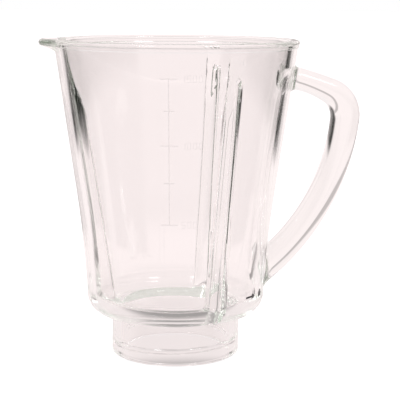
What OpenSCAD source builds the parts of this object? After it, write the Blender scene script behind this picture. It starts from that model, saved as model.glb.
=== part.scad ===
// Glass blender jar: a moulded vessel with a pouring lip, three fluted stirring ribs and a threaded
// collar for a blade unit, a glass handle fused on hot, moulded graduations and printed lock marks.
// Origin: centre of the collar's foot. +Z up, handle towards +X, pouring lip towards -X.

/* [Vessel] */
// Height of the rim above the foot
height = 197; // [170:1:240]
// Outer radius of the collar that takes the blade unit
collar_r = 40; // [36:0.5:46]
// Radius of the bore through the collar
bore_r = 34; // [28:0.5:35]
// Height at which the shoulder overhangs the collar
collar_h = 26.4; // [22:0.2:34]
// Outer radius of the vessel just above the shoulder
shoulder_r = 55.5; // [52:0.5:68]
// Radius that rounds the shoulder's lower edge
shoulder_round = 11.8; // [6:0.2:13]
// Height at which the curved belly becomes a straight cone
belly_top = 103; // [90:1:125]
// Slope of the wall at the shoulder, from the vertical
belly_angle = 2.9; // [1:0.1:5]
// Slope of the straight cone, from the vertical
flare_angle = 8.2; // [5:0.1:10]
// Wall thickness, measured level
wall = 5.5; // [4:0.1:7]
// Height of the jar's inner floor
floor_z = 32; // [30:0.5:40]
// Radius between the inner wall and the floor
floor_round = 10; // [6:0.5:12]
// Radius of the rim's two edges
rim_round = 2.2; // [1:0.1:2.6]
// How far the rim's bead stands out from the cone
bead = 0.5; // [0:0.1:1]
// Height of the rim's bead
bead_h = 4.6; // [3:0.1:7]

/* [Ribs] */
// Angle of the two front and back ribs from the handle; the third is under the lip
rib_angle = 64; // [60:1:68]
// Depth of glass from the outer wall to the rib's crest, where the rib has its full height
rib_depth = 13; // [10:0.5:15]
// Slope of the rib's crest, from the vertical
rib_slope = 8.9; // [7:0.1:10]
// Width of the rib at its root
rib_root = 14; // [10:0.5:18]
// Radius of the rib's crest
rib_crest = 3.4; // [2.5:0.1:4]
// Distance of the rib's top end below the rim
rib_drop = 19; // [15:1:30]
// Length of the sloping run-out at the rib's top
rib_runout = 23; // [15:1:30]
// Width of the flute that is moulded into the outside behind each rib
flute_w = 3.6; // [2.5:0.1:5]
// Depth of the flute at its top end
flute_depth = 3.6; // [2:0.1:4]
// Depth of the flute where it runs out over the shoulder
flute_foot_depth = 4.1; // [2:0.1:4.4]

/* [Pouring lip] */
// How far the lip stands out from the cone
lip_reach = 9; // [7:0.1:11]
// Radius of the lip in plan
lip_r = 19.8; // [17:0.1:24]
// Thickness of the lip at its edge
lip_thick = 4.8; // [4:0.1:6]
// Slope of the lip's underside, from the level
lip_slope = 20; // [10:1:30]
// Radius of the fillet between the underside and the wall
lip_fillet = 5; // [3:0.5:8]

/* [Handle] */
// Distance of the handle's outermost point from the jar's axis
handle_reach = 114.8; // [110:0.2:125]
// Distance of the handle's top face below the rim at the upper joint
handle_drop = 16.3; // [12:0.5:22]
// Thickness of the handle at its upper joint
arm_thick = 14.4; // [11:0.1:16]
// Thickness of the handle at the bend, its thickest place
grip_thick = 17.6; // [15:0.1:21]
// Width of the handle
handle_w = 23; // [18:0.5:28]
// Outer radius of the bend
bend_outer = 23.5; // [20:0.5:26]
// Inner radius of the bend
bend_inner = 11; // [8:0.5:14]
// Distance of the bend's outer centre below the rim
bend_drop = 46.5; // [40:0.5:55]
// Height of the lower joint's lower edge
foot_low = 40.6; // [39:0.2:50]
// Height of the lower joint itself
foot_h = 24; // [22:0.5:30]
// Squareness of the handle's section: 2 is an ellipse
handle_square = 2.6; // [2:0.1:4]

/* [Collar thread] */
// Height of the thread's ridge above the collar's surface
thread_depth = 1.1; // [0.6:0.1:1.5]
// Width of the ridge at its root
thread_w = 3.2; // [2:0.1:4]
// Rise of the thread in one turn
thread_lead = 7.2; // [5:0.1:9]
// Height of the thread's lower end
thread_z = 8; // [4:0.5:12]
// Turn of each of the two ridges, in degrees
thread_turn = 165; // [100:5:170]

/* [Marks] */
// Height of the moulded graduations above the wall
relief = 0.35; // [0.2:0.05:0.6]
// Thickness of the printed enamel
enamel = 0.15; // [0.1:0.05:0.3]
// Angle of the graduations around the jar
scale_angle = -97; // [-105:1:-85]
// Volume between two graduations, in millilitres
scale_step = 250; // [125, 250]
// Volume of the lowest graduation, in millilitres
scale_low = 500; // [250:250:500]
// Volume of the highest graduation, in millilitres
scale_top = 1500; // [1000:250:1500]
// Angle of the printed padlock around the jar
padlock_angle = -25; // [-28:1:-20]
// Angle of the printed turning arrow around the jar
arrow_angle = -38; // [-42:1:-36]
// Angle of the moulded alignment ring around the jar
ring_angle = -56; // [-57:1:-52]
// Height of the lock marks above the foot
lock_z = 42.2; // [41:0.2:48]

/* [Hidden] */
$fn = 64;
eps = 0.01;
glass = [0.80, 0.84, 0.83, 0.6];
ink = [0.12, 0.12, 0.13];
foot_round = 2;                     // rounding of the collar's foot outside
bore_round = 1.5;                   // rounding of the bore's lower edge
bore_top_round = 3;                 // rounding where the bore meets the floor
belly_steps = 8;                    // straight lengths that stand for the belly's arc

belly_z = collar_h + shoulder_round;
rise = belly_top - belly_z;
belly_grow = rise * (tan(belly_angle) + tan(flare_angle)) / 2;
rim_r = shoulder_r + belly_grow + (height - belly_top) * tan(flare_angle);

// Outer radius of the wall under the bead at height z: a parabola through the belly, then a cone.
function wall_r(z) =
    z < belly_top
    ? let (u = max(0, z - belly_z))
      shoulder_r + u * tan(belly_angle) + u * u * (tan(flare_angle) - tan(belly_angle)) / (2 * rise)
    : shoulder_r + belly_grow + (z - belly_top) * tan(flare_angle);

// Inner radius of the plain wall and floor at height z.
function cavity_r(z) =
    let (zc = floor_z + floor_round, rc = wall_r(zc) - wall - floor_round)
    z >= zc ? wall_r(z) - wall
            : rc + sqrt(max(0, floor_round * floor_round - (zc - z) * (zc - z)));

// Points of an arc about [x, z], from angle a to angle b in n steps.
function arc(x, z, r, a, b, n) =
    [for (i = [0:n]) let (t = a + (b - a) * i / n) [x + r * cos(t), z + r * sin(t)]];

// Points of the curve that leaves p towards q and arrives at s from q.
function bend(p, q, s, n) =
    [for (i = [0:n]) let (t = i / n) (1 - t) * (1 - t) * p + 2 * t * (1 - t) * q + t * t * s];

// The wall's outer line from height a to height b.
function wall_line(a, b, inset) =
    [for (z = [a, for (i = [0:belly_steps]) belly_z + rise * i / belly_steps, b])
        if (z >= a && z <= b) [wall_r(z) - inset, z]];

// ---- Vessel -------------------------------------------------------------------------------

// The jar's outside, filled solid.
module outside() {
    rotate_extrude()
        polygon(concat(
            [[0, 0]],
            arc(collar_r - foot_round, foot_round, foot_round, -90, 0, 6),
            [[collar_r, collar_h]],
            arc(shoulder_r - shoulder_round, belly_z, shoulder_round, -90, 0, 12),
            wall_line(belly_z, height - bead_h, 0),
            [[wall_r(height - bead_h + bead) + bead, height - bead_h + bead]],
            arc(rim_r + bead - rim_round, height - rim_round, rim_round, 0, 90, 6),
            [[0, height]]));
}

// The jar's inside, filled solid and open at the top and through the collar.
module plain_cavity() {
    zc = floor_z + floor_round;
    rc = cavity_r(zc) - floor_round;
    lip_z = height - rim_round;
    rotate_extrude()
        polygon(concat(
            [[0, -1], [bore_r + bore_round, -1]],
            arc(bore_r + bore_round, bore_round, bore_round, -90, -180, 5),
            arc(bore_r + bore_top_round, floor_z - bore_top_round, bore_top_round, 180, 90, 6),
            arc(rc, zc, floor_round, -90, 0, 10),
            wall_line(zc + eps, lip_z, wall),
            arc(wall_r(lip_z) - wall + rim_round, lip_z, rim_round, 180, 90, 6),
            [[wall_r(lip_z) - wall + rim_round, height + 1], [0, height + 1]]));
}

// Stands a shape at an angle round the jar, at radius r and height z, leaning out by slope.
module on_line(angle, r, z, slope) {
    rotate(angle) translate([r, 0, z]) rotate([0, slope, 0]) children();
}

// A rib's crest runs straight; it passes this radius at height z.
rib_full_z = height - rib_drop - rib_runout;
function crest_r(z) = wall_r(rib_full_z) - rib_depth + (z - rib_full_z) * tan(rib_slope);

rib_bury = 6;                       // how far past the outer wall the wedge's root lies

// One rib: a wedge with a round crest, run out to the wall at its top.
module rib(angle) {
    foot_z = floor_z - 1;
    length = (height - foot_z) / cos(rib_slope);
    reach = rib_depth + rib_bury;
    top_z = height - rib_drop;
    run_angle = atan((wall_r(top_z) - wall - crest_r(rib_full_z)) / rib_runout);
    difference() {
        on_line(angle, crest_r(foot_z), foot_z, rib_slope)
            linear_extrude(length) {
                translate([rib_crest, 0]) circle(rib_crest);
                polygon([[rib_crest, -rib_crest], [reach, -rib_root / 2],
                         [reach, rib_root / 2], [rib_crest, rib_crest]]);
            }
        on_line(angle, crest_r(rib_full_z), rib_full_z, run_angle)
            translate([-shoulder_r, -rib_root, 0]) cube([shoulder_r, 2 * rib_root, height]);
    }
}

// The flute's floor is a straight line between its two depths.
flute_top_z = height - rib_drop - flute_w;
flute_grow = wall_r(flute_top_z) - flute_depth - (shoulder_r - flute_foot_depth);
flute_slope = atan(flute_grow / (flute_top_z - belly_z));
flute_start = 4;                    // how far below the shoulder's underside the cut starts
flute_past = 20;                    // how far the cut reaches outward, past the wall

// One flute, cut into the outside and open at the shoulder's underside.
module flute(angle) {
    low_z = collar_h - flute_start;
    length = (flute_top_z - low_z) / cos(flute_slope);
    low_r = shoulder_r - flute_foot_depth - (belly_z - low_z) * tan(flute_slope);
    on_line(angle, low_r, low_z, flute_slope) {
        linear_extrude(length) {
            translate([flute_w / 2, 0]) circle(flute_w / 2);
            translate([flute_w / 2, -flute_w / 2]) square([flute_past, flute_w]);
        }
        translate([flute_w / 2, 0, length]) sphere(flute_w / 2);
        translate([flute_w / 2, 0, length]) rotate([0, 90, 0]) cylinder(h = flute_past, r = flute_w / 2);
    }
}

// The lip is turned about its own upright axis, inside the rim. It is a plate of even thickness with
// a round edge, which runs down into the wall over a fillet.
lip_axis = rim_r + lip_reach - lip_r;
lip_edge = [lip_r - lip_thick / 2, height - lip_thick / 2];
lip_sink = 0.6;                     // how far inside the wall the lip's fillet starts
lip_normal = [-sin(lip_slope), cos(lip_slope)];
lip_start_r = wall_r(height - bead_h - 2 * lip_fillet) - lip_axis - lip_sink;
fillet_x = lip_start_r + lip_fillet;
fillet_line = lip_edge - (lip_thick / 2 + lip_fillet) * lip_normal;
fillet_z = fillet_line[1] - (fillet_line[0] - fillet_x) * tan(lip_slope);

module lip_turn() {
    translate([-lip_axis, 0, 0]) rotate_extrude() children();
}

module lip() {
    lip_turn()
        polygon(concat(
            [[0, fillet_z]],
            arc(fillet_x, fillet_z, lip_fillet, 180, 90 + lip_slope, 8),
            arc(lip_edge[0], lip_edge[1], lip_thick / 2, lip_slope - 90, 90, 10),
            [[0, height]]));
}

module lip_channel() {
    crest = lip_edge + lip_thick / 2 * lip_normal;
    lip_turn()
        polygon(concat(
            [[0, fillet_z]],
            arc(fillet_x, fillet_z, lip_fillet + lip_thick, 180, 90 + lip_slope, 10),
            [crest, [crest[0] + (height + 1 - crest[1]) / tan(lip_slope), height + 1], [0, height + 1]]));
}

thread_sink = 0.8;                  // how far the ridge's root is let into the collar
thread_fade = 1 / 8;                // share of the ridge's length that runs out at each end
thread_least = 0.02;                // share of the height that is left at the very ends

// One thread ridge: a round-backed bead carried up a helix and run out at both ends.
module thread_ridge(start) {
    steps = 24;
    sides = 7;
    rings = [for (i = [0:steps])
        let (t = i / steps,
             a = start + thread_turn * t,
             z = thread_z + thread_lead * thread_turn / 360 * t,
             high = thread_depth * min(1, min(t, 1 - t) / thread_fade + thread_least))
        for (k = [0:sides - 1])
            let (b = 180 * k / (sides - 1), sunk = k == 0 || k == sides - 1 ? thread_sink : 0,
                 r = collar_r + high * sin(b) - sunk)
            [r * cos(a), r * sin(a), z - thread_w / 2 * cos(b)]];
    walls = [for (i = [0:steps - 1], k = [0:sides - 1])
        let (j = (k + 1) % sides, p = i * sides, q = p + sides) [p + k, q + k, q + j, p + j]];
    ends = [[for (k = [0:sides - 1]) k], [for (k = [sides - 1:-1:0]) steps * sides + k]];
    polyhedron(rings, concat(walls, ends));
}

module jar_body() {
    color(glass)
        difference() {
            union() {
                outside();
                lip();
                for (start = [0, 180]) thread_ridge(start);
            }
            difference() {
                plain_cavity();
                for (angle = [-rib_angle, rib_angle, 180]) rib(angle);
            }
            lip_channel();
            for (angle = [-rib_angle, rib_angle, 180]) flute(angle);
        }
}

// ---- Handle -------------------------------------------------------------------------------

joint_sink = 2.3;                   // how far the swept ends reach into the wall before trimming
outer_enter = 70.8;                 // where the outer edge's bend circle starts and ends, in degrees
outer_leave = -6.5;
inner_enter = 58;                   // the same for the inner edge
inner_leave = -5;
inner_drop = 1.5;                   // how far the inner bend's centre lies below the outer one's

// Radius of the arc that touches the bend circle at angle a and passes through p.
function spine_r(c, r, a, p) =
    let (u = [cos(a), sin(a)], w = c - p) (w * w + 2 * r * (w * u) + r * r) / (2 * (w * u + r));

// One edge of the handle's outline: level out of the wall, round the bend, down the spine.
function handle_edge(pad_z, c, r, enter, leave, foot) =
    let (s = c + r * [cos(enter), sin(enter)],
         p = [wall_r(pad_z) - joint_sink, pad_z],
         q = [s[0] - (pad_z - s[1]) * tan(enter), pad_z],
         spine = spine_r(c, r, leave, foot),
         sc = c - (spine - r) * [cos(leave), sin(leave)],
         end = atan2(foot[1] - sc[1], foot[0] - sc[0]))
    concat(
        bend(p, q, s, 8),
        [for (i = [1:10]) let (t = enter + (leave - enter) * i / 10) c + r * [cos(t), sin(t)]],
        [for (i = [1:16]) let (t = leave + (end - leave) * i / 16) sc + spine * [cos(t), sin(t)]]);

pad_top = height - handle_drop;
bend_z = height - bend_drop;
foot_top = foot_low + foot_h;
outer_edge = handle_edge(pad_top, [handle_reach - bend_outer, bend_z], bend_outer,
                         outer_enter, outer_leave, [wall_r(foot_low) - joint_sink, foot_low]);
inner_edge = handle_edge(pad_top - arm_thick, [handle_reach - grip_thick - bend_inner, bend_z - inner_drop],
                         bend_inner, inner_enter, inner_leave, [wall_r(foot_top) - joint_sink, foot_top]);

// A rounded power of a sine or cosine, which squares up an ellipse.
function squared(v) = sign(v) * pow(abs(v), 2 / handle_square);

module handle() {
    sides = 20;
    rings = len(outer_edge);
    points = [for (i = [0:rings - 1], k = [0:sides - 1])
        let (a = 360 * k / sides, m = (outer_edge[i] + inner_edge[i]) / 2,
             h = (outer_edge[i] - inner_edge[i]) / 2, p = m + h * squared(cos(a)))
        [p[0], handle_w / 2 * squared(sin(a)), p[1]]];
    walls = [for (i = [0:rings - 2], k = [0:sides - 1])
        let (j = (k + 1) % sides, p = i * sides, q = p + sides) [p + j, q + j, q + k, p + k]];
    ends = [[for (k = [0:sides - 1]) k], [for (k = [sides - 1:-1:0]) (rings - 1) * sides + k]];
    color(glass)
        difference() {
            polyhedron(points, concat(walls, ends));
            outside();
        }
}

// ---- Marks --------------------------------------------------------------------------------

// A skin of the wall, standing out by t, between two heights.
module skin(t, low, high) {
    points = wall_line(low, high, 0);
    rotate_extrude()
        polygon(concat(points, [for (i = [len(points) - 1:-1:0]) points[i] + [t, 0]]));
}

// A flat drawing in the upright plane, pressed onto the wall at an angle and height.
module pressed(angle, z, t, low, high) {
    intersection() {
        skin(t, low, high);
        rotate(angle) translate([shoulder_r / 2, 0, z]) rotate([90, 0, 90])
            linear_extrude(rim_r) children();
    }
}

// Millilitres in the plain cavity above the floor, up to height z, in slices of a millimetre.
slices = [for (z = [floor_z:1:height - 1]) PI * pow(cavity_r(z + 0.5), 2) / 1000];
function filled(n, i = 0, sum = 0) = i >= n ? sum : filled(n, i + 1, sum + slices[i]);
function fill_z(ml, i = 0, sum = 0) =
    i >= len(slices) || sum + slices[i] > ml ? floor_z + i + (ml - sum) / slices[min(i, len(slices) - 1)]
                                             : fill_z(ml, i + 1, sum + slices[i]);

scale_line_w = 0.5;                 // width of a moulded line
tick = 5;                           // length of a graduation on either side of the line
short_tick = 3;                     // the same for the graduations between the numbered ones

module scale_lines() {
    low = fill_z(scale_low);
    high = fill_z(scale_top);
    color(glass)
        pressed(scale_angle, 0, relief, low - tick, high + tick) {
            translate([-scale_line_w / 2, low]) square([scale_line_w, high - low]);
            for (ml = [scale_low:scale_step:scale_top]) {
                half = ml % 500 == 0 ? tick : short_tick;
                translate([-half, fill_z(ml) - scale_line_w / 2]) square([2 * half, scale_line_w]);
            }
        }
}

digit_w = 2.4;
digit_h = 4.2;
digit_gap = 0.9;
stroke = 0.55;
number_gap = 2;                     // gap between a graduation and its number

// Bars of a numeral: top, middle, bottom, upper left, upper right, lower left, lower right.
bars = [[1, 0, 1, 1, 1, 1, 1], [0, 0, 0, 0, 1, 0, 1], [1, 1, 1, 0, 1, 1, 0], [1, 1, 1, 0, 1, 0, 1],
        [0, 1, 0, 1, 1, 0, 1], [1, 1, 1, 1, 0, 0, 1], [1, 1, 1, 1, 0, 1, 1], [1, 0, 0, 0, 1, 0, 1],
        [1, 1, 1, 1, 1, 1, 1], [1, 1, 1, 1, 1, 0, 1]];

module digit(d) {
    b = bars[d];
    half = digit_h / 2;
    for (k = [0:2])
        if (b[k]) translate([0, [digit_h, half, 0][k] - [stroke, stroke / 2, 0][k]]) square([digit_w, stroke]);
    for (k = [0:3])
        if (b[k + 3])
            translate([k % 2 == 0 ? 0 : digit_w - stroke, k < 2 ? half : 0]) square([stroke, half]);
}

// Whole numbers, written to the right of x = 0 and centred on y = 0.
module number(n) {
    digits = n >= 1000 ? 4 : 3;
    for (k = [0:digits - 1])
        translate([k * (digit_w + digit_gap), -digit_h / 2])
            digit(floor(n / pow(10, digits - 1 - k)) % 10);
}

module scale_numerals() {
    color(glass)
        pressed(scale_angle, 0, relief, fill_z(scale_low) - digit_h, fill_z(scale_top) + digit_h)
            for (ml = [500:500:scale_top])
                translate([tick + number_gap, fill_z(ml)]) number(ml);
}

// A raised ring and dot that line up with the mark on the base.
module alignment_ring() {
    ring = 3.3;
    line = 0.7;
    dot = 1.1;
    color(glass)
        pressed(ring_angle, lock_z, relief, belly_z, lock_z + 2 * ring) {
            difference() {
                circle(ring);
                circle(ring - line);
            }
            circle(dot);
        }
}

// A printed arrow that shows which way to turn the jar.
module lock_arrow() {
    shaft = 10;
    head = 3.6;
    bar = 1.2;
    color(ink)
        pressed(arrow_angle, lock_z, enamel, belly_z, lock_z + head) {
            translate([-shaft / 2, -bar / 2]) square([shaft - head, bar]);
            polygon([[shaft / 2 - head, -head / 2], [shaft / 2, 0], [shaft / 2 - head, head / 2]]);
        }
}

// A printed padlock at the locked end of the turn.
module lock_padlock() {
    w = 4;
    h = 2.9;
    bow = 1.5;
    bow_w = 0.6;
    color(ink)
        pressed(padlock_angle, lock_z, enamel, belly_z, lock_z + w) {
            translate([-w / 2, -h / 2 - bow_w]) square([w, h]);
            translate([0, h / 2 - bow_w])
                difference() {
                    circle(bow);
                    circle(bow - bow_w);
                    translate([-bow, -2 * bow]) square([2 * bow, 2 * bow]);
                }
        }
}

jar_body();
handle();
scale_lines();
scale_numerals();
alignment_ring();
lock_arrow();
lock_padlock();
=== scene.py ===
import bpy
import numpy as np
from math import cos, degrees, radians, sin, sqrt, tan
from mathutils import Matrix, Vector


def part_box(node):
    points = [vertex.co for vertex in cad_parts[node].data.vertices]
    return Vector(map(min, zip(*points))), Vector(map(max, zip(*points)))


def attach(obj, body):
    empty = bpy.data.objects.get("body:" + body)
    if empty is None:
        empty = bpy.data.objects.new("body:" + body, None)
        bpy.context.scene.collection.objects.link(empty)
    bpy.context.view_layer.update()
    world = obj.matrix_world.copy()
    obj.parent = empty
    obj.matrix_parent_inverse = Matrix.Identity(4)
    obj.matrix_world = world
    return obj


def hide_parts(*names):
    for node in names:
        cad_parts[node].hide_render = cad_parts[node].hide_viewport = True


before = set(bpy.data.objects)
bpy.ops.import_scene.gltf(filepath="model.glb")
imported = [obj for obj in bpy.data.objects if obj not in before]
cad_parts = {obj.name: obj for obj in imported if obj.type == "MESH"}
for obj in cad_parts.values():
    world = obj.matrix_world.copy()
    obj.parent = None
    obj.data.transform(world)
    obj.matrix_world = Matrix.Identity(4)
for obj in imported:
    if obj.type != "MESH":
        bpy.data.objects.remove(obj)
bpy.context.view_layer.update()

# ---- Vessel, before the handle is put on ----------------------------------------------------
# Soda-lime glass, pressed hot between an outer mould and a plunger: a tapered wall with a rolled rim
# and a pouring lip, three ribs inside with a flute behind each, a rounded shoulder, and a collar with
# two thread ridges and a bore for the blade unit. Lengths are in millimetres until the mesh is made.
MM = 0.001
rim_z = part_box("jar_body")[1].z / MM
collar_r, bore_r, collar_top = 40.0, 34.0, 26.4
foot_round, bore_foot_round, collar_root = 2.0, 1.5, 0.8
shoulder_r, shoulder_round = 55.5, 11.8
belly_top = 103.0
belly_slope, cone_slope = tan(radians(2.9)), tan(radians(8.2))
wall_t = 5.5
floor_z, floor_round, bore_edge = 32.0, 10.0, 3.0
rim_round, bead, bead_h = 2.2, 0.5, 4.6
belly_z = collar_top + shoulder_round
belly_rise = belly_top - belly_z
cone_r = shoulder_r + belly_rise * (belly_slope + cone_slope) / 2
rim_r = cone_r + (rim_z - belly_top) * cone_slope

rib_degrees = (-64.0, 64.0, 180.0)
rib_angles = np.radians(rib_degrees)
rib_full_z, rib_end_z = 155.0, 178.0
rib_depth, rib_slope = 13.0, tan(radians(8.9))
rib_crest_r, rib_flank, rib_fillet = 3.4, 4.33, 7.0
rib_lead, rib_end_round = 3.0, 1.2
rib_half_angle, rib_pull_z, rib_floor_gap = 0.45, 60.0, 2.5
rib_rounds, rib_share_least, rib_share_most = 14, 0.4, 1.6
flute_top_z, flute_top_depth, flute_bottom_r = 174.4, 3.6, 51.4
flute_floor_r, flute_side, flute_edge, flute_half_angle = 1.5, 8.0, 0.5, 0.3

lip_r, lip_reach, lip_t, lip_slope = 19.8, 9.0, 4.8, radians(20)
lip_fillet, channel_fillet = 3.2, 1.6
lip_axis = rim_r + lip_reach - lip_r

thread_z, thread_lead, thread_turn = 8.0, 7.2, radians(165)
thread_depth, thread_half = 1.1, 1.6
thread_fade, thread_roundness = 8, 0.75
wall_step, rim_step, bead_step, thread_step, bore_step = 2.0, 0.7, 0.4, 0.55, 3.5
inner_step_z, outer_step_z = 186, 180


def wall_radius(z):
    """Outer radius at height z: the shoulder's, then a parabola whose slope grows evenly, then a cone."""
    u = np.maximum(z - belly_z, 0)
    curved = shoulder_r + u * belly_slope + u**2 * (cone_slope - belly_slope) / (2 * belly_rise)
    return np.where(z < belly_top, curved, cone_r + (z - belly_top) * cone_slope)


def lesser(a, b, width):
    """The lesser of a and b, rounded over where they are closer than width."""
    h = np.clip(0.5 + 0.5 * (b - a) / width, 0, 1)
    return b + (a - b) * h - width * h * (1 - h)


def greater(a, b, width):
    """The greater of a and b, rounded over where they are closer than width."""
    return -lesser(-a, -b, width)


def away_from(theta, centre):
    """The angle from centre to theta, between half a turn back and half a turn on."""
    return (theta - centre + np.pi) % (2 * np.pi) - np.pi


def arc(r, z, radius, start, end, n):
    """Points at n + 1 even steps of angle on a circle about (r, z), from start to end in degrees."""
    a = np.radians(np.linspace(start, end, n + 1))
    return np.stack([r + radius * np.cos(a), z + radius * np.sin(a)], 1)


def upright(radius_at, low, high, step):
    """Points up or down a wall of the given radius, near enough to step apart."""
    z = np.linspace(low, high, max(2, round(abs(high - low) / step) + 1))
    return np.stack([radius_at(z) + 0 * z, z], 1)


def rib_face(z, y):
    """How far from the axis a rib's face is, along the rib's own direction: the crest's straight line,
    plus a circle that turns into two flat flanks, and above that the line where the rib runs out."""
    crest = wall_radius(rib_full_z) - rib_depth + (z - rib_full_z) * rib_slope
    turn = rib_crest_r * rib_flank / sqrt(1 + rib_flank**2)
    y = np.abs(y)
    round_part = rib_crest_r - np.sqrt(rib_crest_r**2 - np.minimum(y, turn) ** 2)
    section = round_part + rib_flank * np.maximum(y - turn, 0)
    start = wall_radius(rib_full_z) - rib_depth
    end = wall_radius(rib_end_z) - wall_t
    run_out = start + (z - rib_full_z) * (end - start) / (rib_end_z - rib_full_z)
    return greater(crest + section, np.where(z > rib_full_z - rib_lead, run_out, 0), rib_end_round)


def inside(r, z, theta):
    """The cavity: each point slides towards the axis, level or up towards the pull's height, by the
    share that a rib's face asks, with a fillet; near the lip it moves out to the channel's floor."""
    centre_z = np.maximum(z, rib_pull_z)
    share = np.ones_like(theta)
    for angle in rib_angles:
        turn = away_from(theta, angle)
        near = (np.abs(turn) < rib_half_angle) & (z > floor_z - rib_floor_gap)
        t = np.ones_like(theta)
        for _ in range(rib_rounds):
            face = rib_face(centre_z + t * (z - centre_z), t * r * np.sin(turn))
            t = np.clip(face / (r * np.cos(np.clip(turn, -1, 1))), rib_share_least, rib_share_most)
        share = np.where(near, lesser(share, t, rib_fillet / r), share)
    r, z = share * r, centre_z + share * (z - centre_z)
    start_z = rim_z - lip_t / 2 * (1 - cos(lip_slope))
    floor = lip_r - lip_t / 2 * (1 + sin(lip_slope)) - (start_z - z) / tan(lip_slope)
    return greater(r, reach_of_lip(floor, theta), channel_fillet), z


def reach_of_lip(radius, theta):
    """Distance from the jar's axis to a circle of this radius about the lip's axis, at the angle theta;
    0 where the circle isn't met."""
    turn = away_from(theta, np.pi)
    left = np.maximum(radius, 0) ** 2 - (lip_axis * np.sin(turn)) ** 2
    met = (left > 0) & (np.abs(turn) < 1) & (radius > 0)
    return np.where(met, lip_axis * np.cos(turn) + np.sqrt(np.maximum(left, 0)), 0)


def outside(r, z, theta):
    """The outer wall, pushed out to the lip's underside and round edge and pulled in to each flute's
    floor, a half-round channel along a straight line."""
    edge_r, edge_z = lip_r - rim_round, rim_z - rim_round
    low = edge_z - rim_round * cos(lip_slope)
    round_edge = edge_r + np.sqrt(np.maximum(rim_round**2 - (z - edge_z) ** 2, 0))
    under = edge_r + rim_round * sin(lip_slope) - (low - z) / tan(lip_slope)
    r = greater(r, reach_of_lip(np.where(z > low, round_edge, under), theta), lip_fillet)
    slope = (wall_radius(flute_top_z) - flute_top_depth - flute_bottom_r) / (flute_top_z - belly_z)
    for angle in rib_angles:
        turn = away_from(theta, angle)
        away = np.hypot(r * np.sin(turn), np.maximum(z - flute_top_z, 0))
        half = flute_floor_r * flute_side / sqrt(1 + flute_side**2)
        bowl = flute_floor_r - np.sqrt(flute_floor_r**2 - np.minimum(away, half) ** 2)
        floor = flute_bottom_r + (z - belly_z) * slope + bowl + flute_side * np.maximum(away - half, 0)
        pulled = lesser(r, floor / np.cos(np.clip(turn, -1, 1)), flute_edge)
        r = np.where(np.abs(turn) < flute_half_angle, pulled, r)
    return r, z


def threaded(r, z, theta):
    """The collar's side with two round ridges, each a part of a helix that fades at both ends."""
    for start in (0.0, np.pi):
        turn = (theta - start) % (2 * np.pi)
        along = turn / thread_turn
        fade = np.clip(thread_fade * np.minimum(along, 1 - along), 0, 1)
        off = (z - thread_z - thread_lead * turn / (2 * np.pi)) / thread_half
        r = r + thread_depth * fade * np.maximum(1 - off**2, 0) ** thread_roundness
    return r, z


def columns():
    """Angles of the grid's columns, each as a fixed angle and an arc length to divide by the radius,
    so that columns follow a flute of even width. They are close together at the flutes and ribs: fine
    and lip are distances from a flute's middle, and the columns between are evenly shared out."""
    fine = np.array([0, 0.5, 1.0, 1.35, 1.55, 1.7, 1.85, 2.05, 2.4, 3.0, 3.7, 4.4, 5.2, 6.0, 6.9, 8.0,
                     9.4, 11.0])
    lip = np.append(fine, [12.6, 14.0, 15.2, 16.2, 17.2, 18.2, 19.2, 20.4, 22.0, 24.0])
    zones = [*zip(rib_degrees, (fine, fine, lip)), (rib_degrees[0] + 360, fine)]
    angle, length = [], []
    for (here, mine), (after, its), gap in zip(zones, zones[1:], (46, 38, 38)):
        both = np.concatenate([-mine[:0:-1], mine])
        share = np.arange(1, gap) / gap
        angle += [np.full(len(both), here), here + share * (after - here)]
        length += [both, (1 - share) * mine[-1] - share * its[-1]]
    return np.radians(np.concatenate(angle)), np.concatenate(length)


def closed_grid(rows, name):
    """A mesh of a closed grid: each row is a ring, and the last row joins the first."""
    n, m = rows.shape[:2]
    i, j = np.meshgrid(np.arange(n), np.arange(m), indexing="ij")
    down, on = (i + 1) % n, (j + 1) % m
    quads = np.stack([i * m + j, down * m + j, down * m + on, i * m + on], -1).reshape(-1, 4)
    mesh = bpy.data.meshes.new(name)
    mesh.from_pydata(rows.reshape(-1, 3) * MM, [], quads)
    return mesh


cavity_low = floor_z + floor_round
cavity_r = float(wall_radius(cavity_low)) - wall_t
inner_rim_r = float(wall_radius(rim_z - rim_round)) - wall_t
bead_z = rim_z - bead_h
profile = [
    (inside, np.concatenate([
        upright(lambda z: bore_r, bore_foot_round, floor_z - bore_edge, bore_step)[1:-1],
        arc(bore_r + bore_edge, floor_z - bore_edge, bore_edge, 180, 90, 6),
        arc(cavity_r - floor_round, cavity_low, floor_round, -90, 0, 14),
        upright(lambda z: wall_radius(z) - wall_t, cavity_low, inner_step_z, wall_step)[1:],
        upright(lambda z: wall_radius(z) - wall_t, inner_step_z, rim_z - rim_round, rim_step)[1:],
        arc(inner_rim_r + rim_round, rim_z - rim_round, rim_round, 180, 90, 8)[1:]])),
    (outside, np.concatenate([
        arc(rim_r + bead - rim_round, rim_z - rim_round, rim_round, 90, 0, 8),
        upright(lambda z: wall_radius(z) + bead, rim_z - rim_round, bead_z, bead_step)[1:],
        upright(wall_radius, bead_z - bead, outer_step_z, rim_step),
        upright(wall_radius, outer_step_z, belly_z, wall_step)[1:],
        arc(shoulder_r - shoulder_round, belly_z, shoulder_round, 0, -90, 18)[1:]])),
    (threaded, np.concatenate([
        np.array([[collar_r + 2 * collar_root, collar_top]]),
        arc(collar_r + collar_root, collar_top - collar_root, collar_root, 90, 180, 4),
        upright(lambda z: collar_r, collar_top - collar_root, foot_round, thread_step)[1:-1],
        arc(collar_r - foot_round, foot_round, foot_round, 0, -90, 6)])),
    (inside, np.concatenate([
        np.array([[bore_r + bore_foot_round, 0.0]]),
        arc(bore_r + bore_foot_round, bore_foot_round, bore_foot_round, -90, -180, 5)[1:]])),
]
fixed, length = columns()
rings = []
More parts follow.
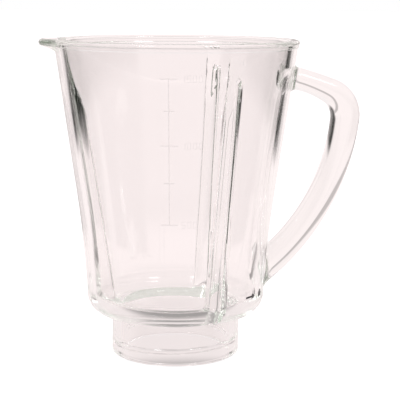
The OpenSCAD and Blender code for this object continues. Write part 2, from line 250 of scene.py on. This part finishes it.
for shape, points in profile:
    r, z = points[:, :1], points[:, 1:]
    theta = fixed + length / r
    r, z = shape(r + 0 * theta, z + 0 * theta, theta)
    rings.append(np.stack([r * np.cos(theta), r * np.sin(theta), z], -1))
jar = bpy.data.objects.new("jar_glass", closed_grid(np.concatenate(rings), "jar_glass"))
bpy.context.scene.collection.objects.link(jar)

# ---- Handle, fused to the vessel ------------------------------------------------------------
# A second gob of the same glass, pressed to a loop of squarish oval section and fused hot to the wall
# at two pads, where it spreads a little. After it is put on, the two are one piece of glass.
handle_w, handle_square = 23.0, 2.6
handle_reach, grip_t = 114.8, 17.6
pad_top, pad_bottom = 180.7, 166.3
foot_low, foot_high = 40.6, 64.6
outer_bend, outer_bend_z, outer_enter, outer_leave = 23.5, 150.5, 70.8, -6.5
inner_bend, inner_bend_z, inner_enter, inner_leave = 11.0, 149.0, 58.0, -5.0
bend_steps, grip_steps, sides_around = 22, 60, 48
joint_sink, joint_spread, joint_steepest = 2.3, 3.0, 0.88
crease = radians(38)


def along_bend(p, q, s, n):
    """Points from p to s that leave p towards q and arrive from q: the squares of the shares of p and
    s, and twice the product of the shares for q."""
    t = np.linspace(0, 1, n + 1)[:, None]
    return (1 - t) ** 2 * p + 2 * t * (1 - t) * q + t**2 * s


def outline(pad_z, centre, radius, enter, leave, foot_z):
    """One edge of the handle from the side: level out of the wall, round the bend's circle between two
    angles, and down a wide circle that touches it and meets the wall at foot_z."""
    way = lambda a: np.array([cos(radians(a)), sin(radians(a))])
    centre = np.array(centre)
    s = centre + radius * way(enter)
    p = np.array([float(wall_radius(pad_z)) - joint_sink, pad_z])
    q = np.array([s[0] - (pad_z - s[1]) * tan(radians(enter)), pad_z])
    foot = np.array([float(wall_radius(foot_z)) - joint_sink, foot_z])
    w, u = centre - foot, way(leave)
    wide = (w @ w + 2 * radius * (w @ u) + radius**2) / (2 * (w @ u + radius))
    wide_centre = centre - (wide - radius) * u
    end = degrees(np.arctan2(*(foot - wide_centre)[::-1]))
    return np.concatenate([
        along_bend(p, q, s, bend_steps),
        arc(*centre, radius, enter, leave, bend_steps)[1:],
        arc(*wide_centre, wide, leave, end, grip_steps)[1:]])


outer = outline(pad_top, (handle_reach - outer_bend, outer_bend_z), outer_bend,
                outer_enter, outer_leave, foot_low)
inner = outline(pad_bottom, (handle_reach - grip_t - inner_bend, inner_bend_z), inner_bend,
                inner_enter, inner_leave, foot_high)

# A section reaches from the inner edge to the outer one and across by half the width, each times the
# cosine or sine of the way round, to the power of 2 over handle_square. Near the wall it spreads by a
# quarter circle. The sections are a grid, closed by a flat face at each end, inside the wall.
around = np.linspace(0, 2 * np.pi, sides_around + 1)[:-1]
middle, half = (outer + inner)[:, None] / 2, (outer - inner)[:, None] / 2
lift = np.sign(np.cos(around)) * np.abs(np.cos(around)) ** (2 / handle_square)
side = np.sign(np.sin(around)) * np.abs(np.sin(around)) ** (2 / handle_square)
flat = middle + half * lift[None, :, None]
across = np.broadcast_to(handle_w / 2 * side, flat.shape[:2])
off_wall = np.hypot(flat[..., 0], across) - wall_radius(flat[..., 1])
share = np.clip(1 - off_wall / joint_spread, 0, joint_steepest)
spread = joint_spread * (1 - np.sqrt(1 - share**2))
unit = half / np.linalg.norm(half, axis=-1, keepdims=True)
flat = flat + unit * (lift * spread)[..., None]
across = across + side * spread
rows = np.stack([flat[..., 0], across, flat[..., 1]], -1)
n, m = rows.shape[:2]
i, j = np.meshgrid(np.arange(n - 1), np.arange(m), indexing="ij")
on = (j + 1) % m
quads = np.stack([i * m + j, (i + 1) * m + j, (i + 1) * m + on, i * m + on], -1).reshape(-1, 4)
ends = [list(range(m)), list(range(n * m - 1, (n - 1) * m - 1, -1))]
mesh = bpy.data.meshes.new("handle_glass")
mesh.from_pydata(rows.reshape(-1, 3) * MM, [], quads.tolist() + ends)
handle = bpy.data.objects.new("handle_glass", mesh)
bpy.context.scene.collection.objects.link(handle)

# The wall and the handle are joined into one closed surface, as they fuse while hot.
fuse = jar.modifiers.new("fuse", "BOOLEAN")
fuse.operation, fuse.solver, fuse.object = "UNION", "MANIFOLD", handle
bpy.context.view_layer.update()
fused = bpy.data.meshes.new_from_object(jar.evaluated_get(bpy.context.evaluated_depsgraph_get()))
fused.name = "jar_glass"
jar.modifiers.clear()
jar.data = fused
bpy.data.objects.remove(handle)
fused.shade_smooth()
fused.set_sharp_from_angle(angle=crease)

# ---- Glass of the vessel and the handle -----------------------------------------------------
# Clear soda-lime glass with smooth, fire-polished faces. A trace of iron makes it a little green where
# light goes a long way through it, as in the rim, the floor and the handle.
glass_tint, glass_bending = (0.99, 0.98, 0.98), 1.5
glass_depth_tint, glass_density = (0.80, 0.86, 0.80, 1), 5.0

# What pressing and fire-polishing leave on the glass, and on the relief and the printed marks too: slow
# waves that run up and down, and a mottle that makes the tone and the polish a little uneven.
wave_turns, mottle_turns = (110.0, 110.0, 14.0), (260.0, 260.0, 260.0)
skin = bpy.data.node_groups.new("pressed_skin", "ShaderNodeTree")
for name, kind in (("Place", "Vector"), ("Tint", "Color"), ("Wander", "Float"), ("Dullness", "Float")):
    skin.interface.new_socket(name, in_out="INPUT", socket_type="NodeSocket" + kind)
for name, kind in (("Colour", "Color"), ("Roughness", "Float"), ("Height", "Float")):
    skin.interface.new_socket(name, in_out="OUTPUT", socket_type="NodeSocket" + kind)
way_in, way_out = skin.nodes.new("NodeGroupInput"), skin.nodes.new("NodeGroupOutput")


def skin_noise(stretch, detail):
    """A noise texture over the place, which is first scaled by stretch, in turns per metre."""
    scaled, noise = skin.nodes.new("ShaderNodeVectorMath"), skin.nodes.new("ShaderNodeTexNoise")
    scaled.operation = "MULTIPLY"
    scaled.inputs[1].default_value = stretch
    noise.inputs["Scale"].default_value, noise.inputs["Detail"].default_value = 1.0, detail
    skin.links.new(way_in.outputs["Place"], scaled.inputs[0])
    skin.links.new(scaled.outputs["Vector"], noise.inputs["Vector"])
    return noise.outputs[0]


waves, mottle = skin_noise(wave_turns, 1.0), skin_noise(mottle_turns, 3.0)
darker, tone = skin.nodes.new("ShaderNodeMath"), skin.nodes.new("ShaderNodeHueSaturation")
darker.operation = "MULTIPLY_ADD"
skin.links.new(mottle, darker.inputs[0])
skin.links.new(way_in.outputs["Wander"], darker.inputs[1])
darker.inputs[2].default_value = 1.0
skin.links.new(darker.outputs[0], tone.inputs["Value"])
skin.links.new(way_in.outputs["Tint"], tone.inputs["Color"])
skin.links.new(tone.outputs[0], way_out.inputs["Colour"])
rough = skin.nodes.new("ShaderNodeMath")
rough.operation = "MULTIPLY"
skin.links.new(mottle, rough.inputs[0])
skin.links.new(way_in.outputs["Dullness"], rough.inputs[1])
skin.links.new(rough.outputs[0], way_out.inputs["Roughness"])
skin.links.new(waves, way_out.inputs["Height"])


def with_skin(name, tint, wander, dullness, wave_height):
    """A Principled material with the pressed skin: its tint times 1 plus wander times the mottle, a
    roughness of dullness times the mottle, and waves of a height in metres."""
    made = bpy.data.materials.new(name)
    made.use_nodes = True
    nodes, links = made.node_tree.nodes, made.node_tree.links
    shader, place = nodes["Principled BSDF"], nodes.new("ShaderNodeTexCoord")
    group, bump = nodes.new("ShaderNodeGroup"), nodes.new("ShaderNodeBump")
    group.node_tree = skin
    group.inputs["Tint"].default_value = (*tint, 1)
    group.inputs["Wander"].default_value = wander
    group.inputs["Dullness"].default_value = dullness
    bump.inputs["Distance"].default_value = wave_height
    links.new(place.outputs["Object"], group.inputs["Place"])
    links.new(group.outputs["Colour"], shader.inputs["Base Color"])
    links.new(group.outputs["Roughness"], shader.inputs["Roughness"])
    links.new(group.outputs["Height"], bump.inputs["Height"])
    links.new(bump.outputs["Normal"], shader.inputs["Normal"])
    return made, shader


glass, shader = with_skin("pressed_glass", glass_tint, wander=-0.01, dullness=0.002, wave_height=0.00003)
shader.inputs["IOR"].default_value = glass_bending
shader.inputs["Transmission Weight"].default_value = 1.0
depth = glass.node_tree.nodes.new("ShaderNodeVolumeAbsorption")
depth.inputs["Color"].default_value = glass_depth_tint
depth.inputs["Density"].default_value = glass_density
output = glass.node_tree.nodes["Material Output"]
glass.node_tree.links.new(depth.outputs["Volume"], output.inputs["Volume"])
jar.data.materials.clear()
jar.data.materials.append(glass)
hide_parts("jar_body", "handle")
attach(jar, "root")

# ---- Moulded relief -------------------------------------------------------------------------
# The fill line with its graduations, their numerals, and the ring that lines up with the base: raised
# glass, pressed with the wall. It is as clear as the wall, so only a trace shows: a faint grey over it,
# which is painted shade standing in for the dim edges of the raised glass.
# Painted shade: a faint grey laid over the clear relief, in place of the shade at its edges.
relief_shade_tint = (0.45, 0.47, 0.46)
relief_shade_showing = {"scale_lines": 0.09, "alignment_ring": 0.14, "scale_numerals": 0.035}
for name, showing in relief_shade_showing.items():
    relief, shader = with_skin("relief_" + name, relief_shade_tint, wander=-0.3, dullness=0.3, wave_height=0.0001)
    shader.inputs["Alpha"].default_value = showing
    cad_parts[name].data.materials.clear()
    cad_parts[name].data.materials.append(relief)

# ---- Printed marks --------------------------------------------------------------------------
# The arrow and the padlock beside the shoulder: black enamel, screen-printed on the glass and fired,
# a hair thick, with a slightly uneven satin face.
enamel_tint = (0.022, 0.022, 0.024)
enamel, _ = with_skin("fired_enamel", enamel_tint, wander=-0.4, dullness=0.7, wave_height=0.00005)
for name in ("lock_arrow", "lock_padlock"):
    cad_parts[name].data.materials.clear()
    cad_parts[name].data.materials.append(enamel)

# ---- Floor, light and camera ----------------------------------------------------------------
# White paper under a white sky, as the camera sees them. What the glass mirrors and bends is a plain
# studio round it: a pale table with a painted shadow straight under the jar, dark sides past its edges,
# a duller front, a half-dark skyline, a pale ceiling and two small softboxes high in front.
# Each pair of numbers says where a tone begins and where it is full, as the height of a direction that is
# 1 long; for side_turn as the part of its level length that points sideways, for front_turn as the part
# that points to the front, and for softbox_edge as the cosine of the angle from a softbox's middle.
table_tone, painted_shadow_tone, painted_shadow_edge = (1.03, 0.945, 0.94), (0.93, 0.855, 0.85), (-0.3, -0.75)
side_tone, side_turn, table_edge = (0.0, 0.004, 0.0), (0.58, 0.68), (-0.175, -0.135)
skyline_low, skyline_high, skyline_share = (0.01, 0.03), (0.11, 0.07), 0.45
front_tone, front_turn = (0.36, 0.34, 0.335), (0.1, 0.4)
front_below, front_above = (-0.45, -0.6), (-0.05, 0.05)
ceiling_tone, ceiling_edge = (0.95, 0.90, 0.90), (0.2, 0.4)
softboxes = ((-0.43, -0.478, 0.766), (0.413, -0.492, 0.766))
softbox_tone, softbox_edge = (9.0, 9.0, 9.0), (0.986, 0.996)
paper_half, paper_glow, paper_tone = 12, 0.8, (0.4, 0.4, 0.4, 1)
middle_of_jar = (0, 0, 0.1)
just_over_one = 1.0001
bounces = 48


def math_node(tree, operation, *values):
    """One Math node with these inputs, each a number or a socket; gives its output."""
    made = tree.nodes.new("ShaderNodeMath")
    made.operation = operation
    for socket, value in zip(made.inputs, values):
        if isinstance(value, (int, float)):
            socket.default_value = value
        else:
            tree.links.new(value, socket)
    return made.outputs[0]


def rise(tree, value, edge):
    """0 before the edge's first number, 1 past its second, and a smooth step between, up or down."""
    made = tree.nodes.new("ShaderNodeMapRange")
    made.interpolation_type = "SMOOTHSTEP"
    made.inputs["From Min"].default_value, made.inputs["From Max"].default_value = edge
    tree.links.new(value, made.inputs["Value"])
    return made.outputs["Result"]


def blend_colour(tree, share, low, high):
    """The colour low where share is 0 and high where it is 1."""
    made = tree.nodes.new("ShaderNodeMix")
    made.data_type = "RGBA"
    tree.links.new(share, made.inputs["Factor"])
    for name, value in (("A", low), ("B", high)):
        socket = [i for i in made.inputs if i.name == name and i.type == "RGBA"][0]
        if isinstance(value, tuple):
            socket.default_value = (*value, 1)
        else:
            tree.links.new(value, socket)
    return [o for o in made.outputs if o.type == "RGBA"][0]


surround = bpy.data.node_groups.new("studio_surround", "ShaderNodeTree")
surround.interface.new_socket("Direction", in_out="INPUT", socket_type="NodeSocketVector")
surround.interface.new_socket("Colour", in_out="OUTPUT", socket_type="NodeSocketColor")
tree = surround
way_in, way_out = tree.nodes.new("NodeGroupInput"), tree.nodes.new("NodeGroupOutput")
unit_way = tree.nodes.new("ShaderNodeVectorMath")
unit_way.operation = "NORMALIZE"
tree.links.new(way_in.outputs["Direction"], unit_way.inputs[0])
split = tree.nodes.new("ShaderNodeSeparateXYZ")
tree.links.new(unit_way.outputs["Vector"], split.inputs[0])
x, y, z = split.outputs
# The level length of the direction, kept just above 0 where it is upright.
level = math_node(tree, "SQRT",
                  math_node(tree, "SUBTRACT", just_over_one, math_node(tree, "MULTIPLY", z, z)))
sideways = math_node(tree, "DIVIDE", math_node(tree, "ABSOLUTE", x), level)
sides = math_node(tree, "MULTIPLY", rise(tree, sideways, side_turn), rise(tree, z, table_edge))
skyline = math_node(tree, "MULTIPLY", rise(tree, z, skyline_low), rise(tree, z, skyline_high))
room = math_node(tree, "MAXIMUM", sides, math_node(tree, "MULTIPLY", skyline, skyline_share))
overhead = rise(tree, z, ceiling_edge)
forward = rise(tree, math_node(tree, "MULTIPLY", y, -1.0), front_turn)
front = math_node(tree, "MULTIPLY", forward,
                  math_node(tree, "ADD", rise(tree, z, front_below), rise(tree, z, front_above)))
# Painted shadow: straight under the jar the table is darker.
colour = blend_colour(tree, rise(tree, z, painted_shadow_edge), table_tone, painted_shadow_tone)
colour = blend_colour(tree, front, colour, front_tone)
colour = blend_colour(tree, room, colour, side_tone)
colour = blend_colour(tree, overhead, colour, ceiling_tone)
for toward in softboxes:
    near = tree.nodes.new("ShaderNodeVectorMath")
    near.operation = "DOT_PRODUCT"
    near.inputs[1].default_value = toward
    tree.links.new(unit_way.outputs["Vector"], near.inputs[0])
    colour = blend_colour(tree, rise(tree, near.outputs["Value"], softbox_edge), colour, softbox_tone)
tree.links.new(colour, way_out.inputs["Colour"])

mesh = bpy.data.meshes.new("floor")
corners = [(paper_half * x, paper_half * y, 0) for x, y in ((-1, -1), (1, -1), (1, 1), (-1, 1))]
mesh.from_pydata(corners, [], [(0, 1, 2, 3)])
floor = bpy.data.objects.new("floor", mesh)
bpy.context.scene.collection.objects.link(floor)
paper = bpy.data.materials.new("white_paper")
paper.use_nodes = True
tree = paper.node_tree
tree.nodes.clear()
place = tree.nodes.new("ShaderNodeTexCoord")
from_jar = tree.nodes.new("ShaderNodeVectorMath")
from_jar.operation = "SUBTRACT"
from_jar.inputs[1].default_value = middle_of_jar
tree.links.new(place.outputs["Object"], from_jar.inputs[0])
seen = tree.nodes.new("ShaderNodeGroup")
seen.node_tree = surround
tree.links.new(from_jar.outputs["Vector"], seen.inputs["Direction"])
# For rays from the glass the paper glows with the studio's colours, painted shadow under the jar included;
# for the camera it is a plain glow with a little diffuse shade.
lit, plain = tree.nodes.new("ShaderNodeEmission"), tree.nodes.new("ShaderNodeEmission")
dull = tree.nodes.new("ShaderNodeBsdfDiffuse")
tree.links.new(seen.outputs["Colour"], lit.inputs["Color"])
plain.inputs["Strength"].default_value = paper_glow
dull.inputs["Color"].default_value = paper_tone
shown, chosen = tree.nodes.new("ShaderNodeAddShader"), tree.nodes.new("ShaderNodeMixShader")
path, out = tree.nodes.new("ShaderNodeLightPath"), tree.nodes.new("ShaderNodeOutputMaterial")
tree.links.new(plain.outputs[0], shown.inputs[0])
tree.links.new(dull.outputs[0], shown.inputs[1])
tree.links.new(path.outputs["Is Camera Ray"], chosen.inputs[0])
tree.links.new(lit.outputs[0], chosen.inputs[1])
tree.links.new(shown.outputs[0], chosen.inputs[2])
tree.links.new(chosen.outputs[0], out.inputs["Surface"])
floor.data.materials.append(paper)

world = bpy.data.worlds.new("studio")
bpy.context.scene.world = world
world.use_nodes = True
tree = world.node_tree
seen = tree.nodes.new("ShaderNodeGroup")
seen.node_tree = surround
way = tree.nodes.new("ShaderNodeTexCoord")
tree.links.new(way.outputs["Generated"], seen.inputs["Direction"])
path = tree.nodes.new("ShaderNodeLightPath")
tree.links.new(blend_colour(tree, path.outputs["Is Camera Ray"], seen.outputs["Colour"], (1.0, 1.0, 1.0)),
               tree.nodes["Background"].inputs["Color"])

data = bpy.data.cameras.new("camera")
camera = bpy.data.objects.new("camera", data)
bpy.context.scene.collection.objects.link(camera)
data.sensor_width, data.lens = 36.0, 113.09
data.clip_start, data.clip_end = 0.05, 60.0
stand = Vector((-0.0475, -0.7765, 0.2275))
heading, dip, roll = radians(86.5 - 1.117), radians(9.544), radians(0.42)
look = Vector((cos(heading) * cos(dip), sin(heading) * cos(dip), -sin(dip)))
turned = look.to_track_quat("-Z", "Y").to_matrix() @ Matrix.Rotation(roll, 3, "Z")
camera.matrix_world = Matrix.Translation(stand) @ turned.to_4x4()
bpy.context.scene.camera = camera

scene = bpy.context.scene
scene.view_settings.view_transform = "Standard"
scene.cycles.max_bounces = bounces
scene.cycles.glossy_bounces = bounces
scene.cycles.transmission_bounces = bounces
